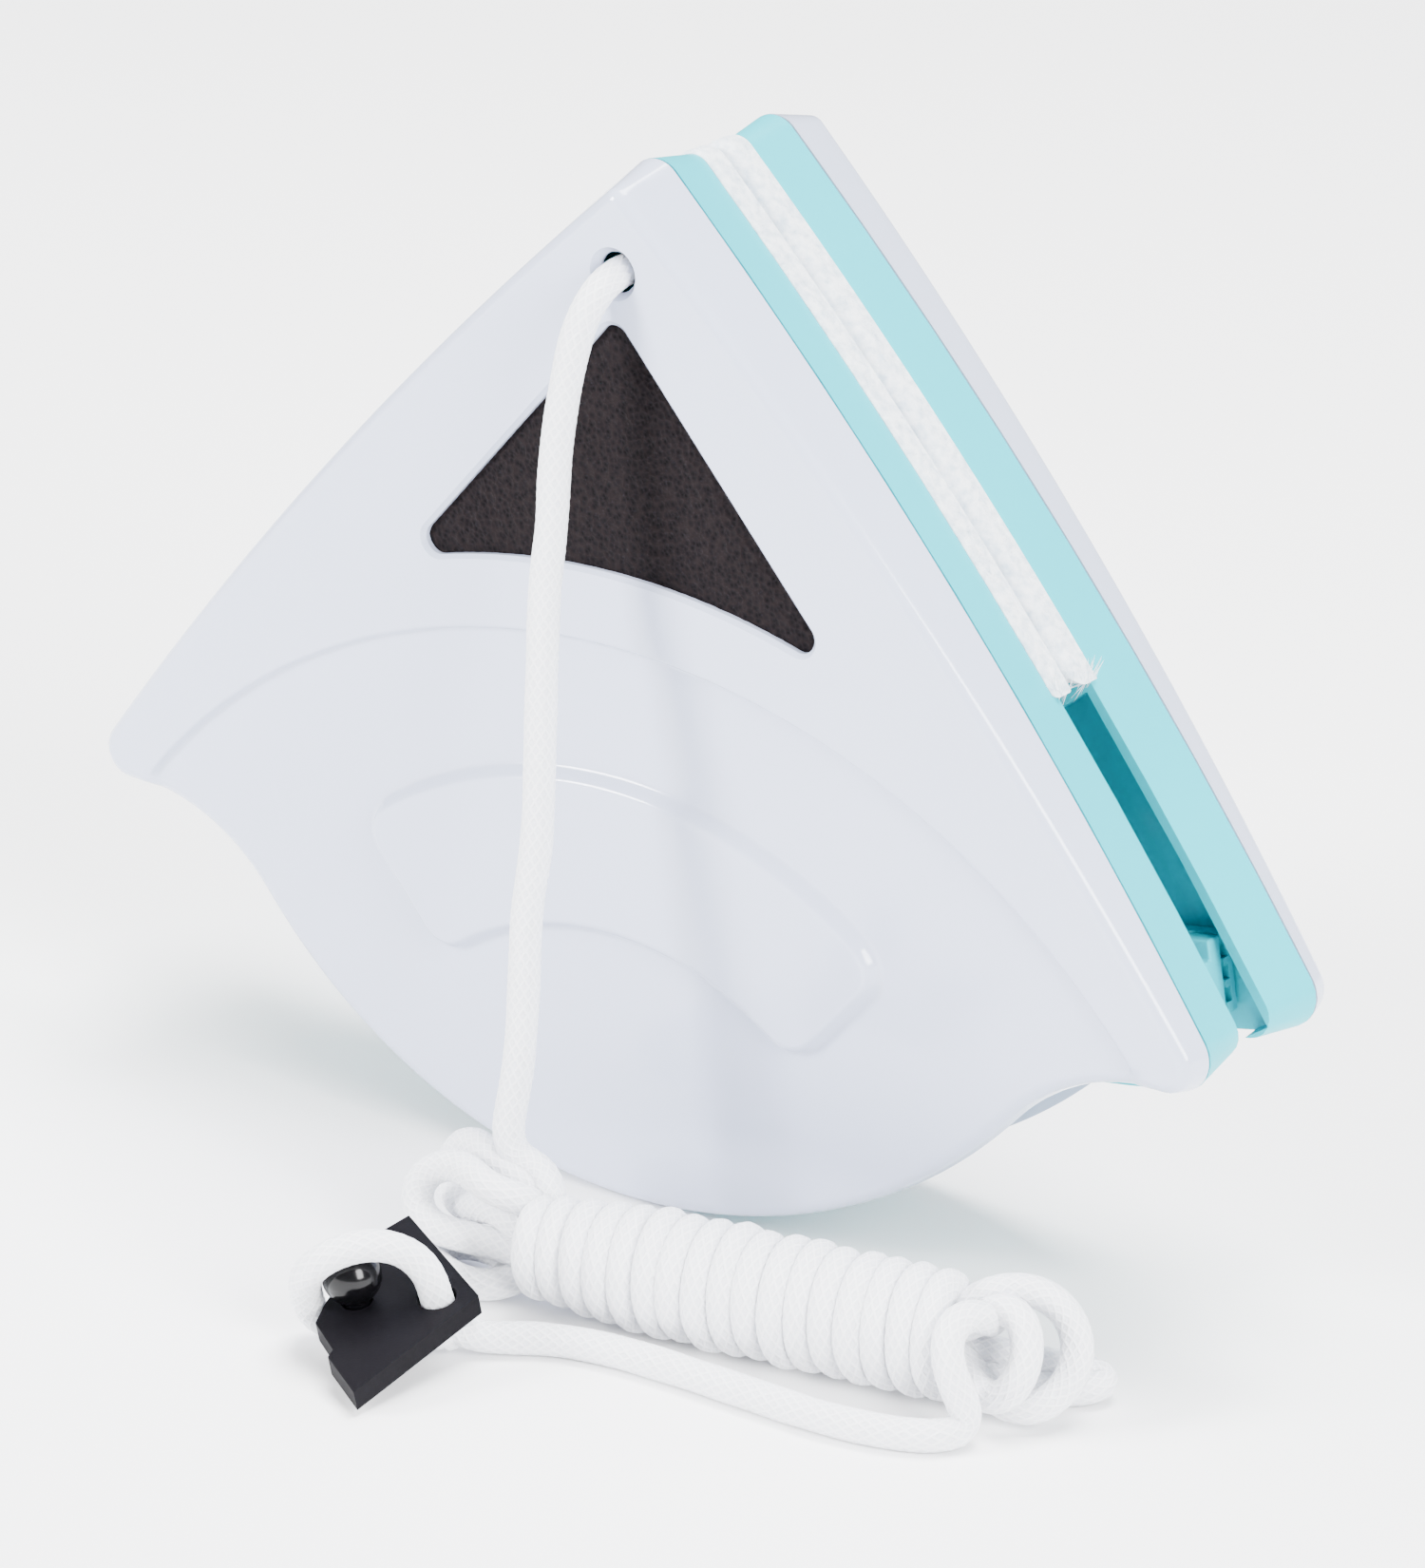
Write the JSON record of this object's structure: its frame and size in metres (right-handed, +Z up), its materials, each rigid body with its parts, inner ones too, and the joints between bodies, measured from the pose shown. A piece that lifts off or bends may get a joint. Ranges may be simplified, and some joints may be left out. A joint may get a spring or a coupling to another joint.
{
  "type": "magnetic glass cleaner",
  "caption": "Double-sided magnetic glass cleaner: mirrored shield-shaped halves with fleece pads and wiper blades, standing on its lower edge, with a wound safety cord and a clip.",
  "frame": {"origin": "middle of the lower edge on the surface it stands on, at the glass plane between the halves", "axes": "+X along the glass, +Y through the glass towards the rear half, +Z up to the apex"},
  "size_m": [0.15, 0.0947, 0.122],
  "materials": {
    "white_shell": "glossy moulded white plastic",
    "cyan_plastic": "satin moulded cyan plastic",
    "foam": "open-cell charcoal foam",
    "fleece": "white fluffy fleece",
    "clear_rubber": "translucent bluish rubber",
    "magnet": "nickel plated",
    "yoke_steel": "zinc plated sheet",
    "screw_steel": "plated screw",
    "white_cord": "braided white cord",
    "black_plastic": "moulded black plastic"
  },
  "bodies": {
    "front_half": {"front_cover": "white_shell", "front_foam": "foam", "front_frame": "cyan_plastic", "front_fleece_pad": "fleece", "front_yoke_plate": "yoke_steel", "front_magnet_1": "magnet", "front_magnet_2": "magnet", "front_magnet_3": "magnet", "front_screw_1": "screw_steel", "front_screw_2": "screw_steel", "front_screw_3": "screw_steel", "front_blade_1": "clear_rubber", "front_blade_2": "clear_rubber", "front_blade_3": "clear_rubber", "front_blade_bar": "cyan_plastic", "front_end_clip_a": "cyan_plastic", "front_end_clip_b": "cyan_plastic", "cord_stopper_knot": "white_cord", "cord_run": "white_cord", "cord_hank": "white_cord", "cord_tail": "white_cord", "cord_loop": "white_cord", "clip_knot": "white_cord", "clip_plate": "black_plastic", "clip_knob": "black_plastic"},
    "rear_half": {"rear_cover": "white_shell", "rear_foam": "foam", "rear_frame": "cyan_plastic", "rear_fleece_pad": "fleece", "rear_yoke_plate": "yoke_steel", "rear_magnet_1": "magnet", "rear_magnet_2": "magnet", "rear_magnet_3": "magnet", "rear_screw_1": "screw_steel", "rear_screw_2": "screw_steel", "rear_screw_3": "screw_steel", "rear_blade_1": "clear_rubber", "rear_blade_2": "clear_rubber", "rear_blade_3": "clear_rubber", "rear_blade_bar": "cyan_plastic", "rear_end_clip_a": "cyan_plastic", "rear_end_clip_b": "cyan_plastic"}
  },
  "joints": [
    {"name": "pull_apart", "type": "slide", "parent": "front_half", "child": "rear_half", "axis": [0, 1, 0], "range_m": [0, 0.03]}
  ]
}
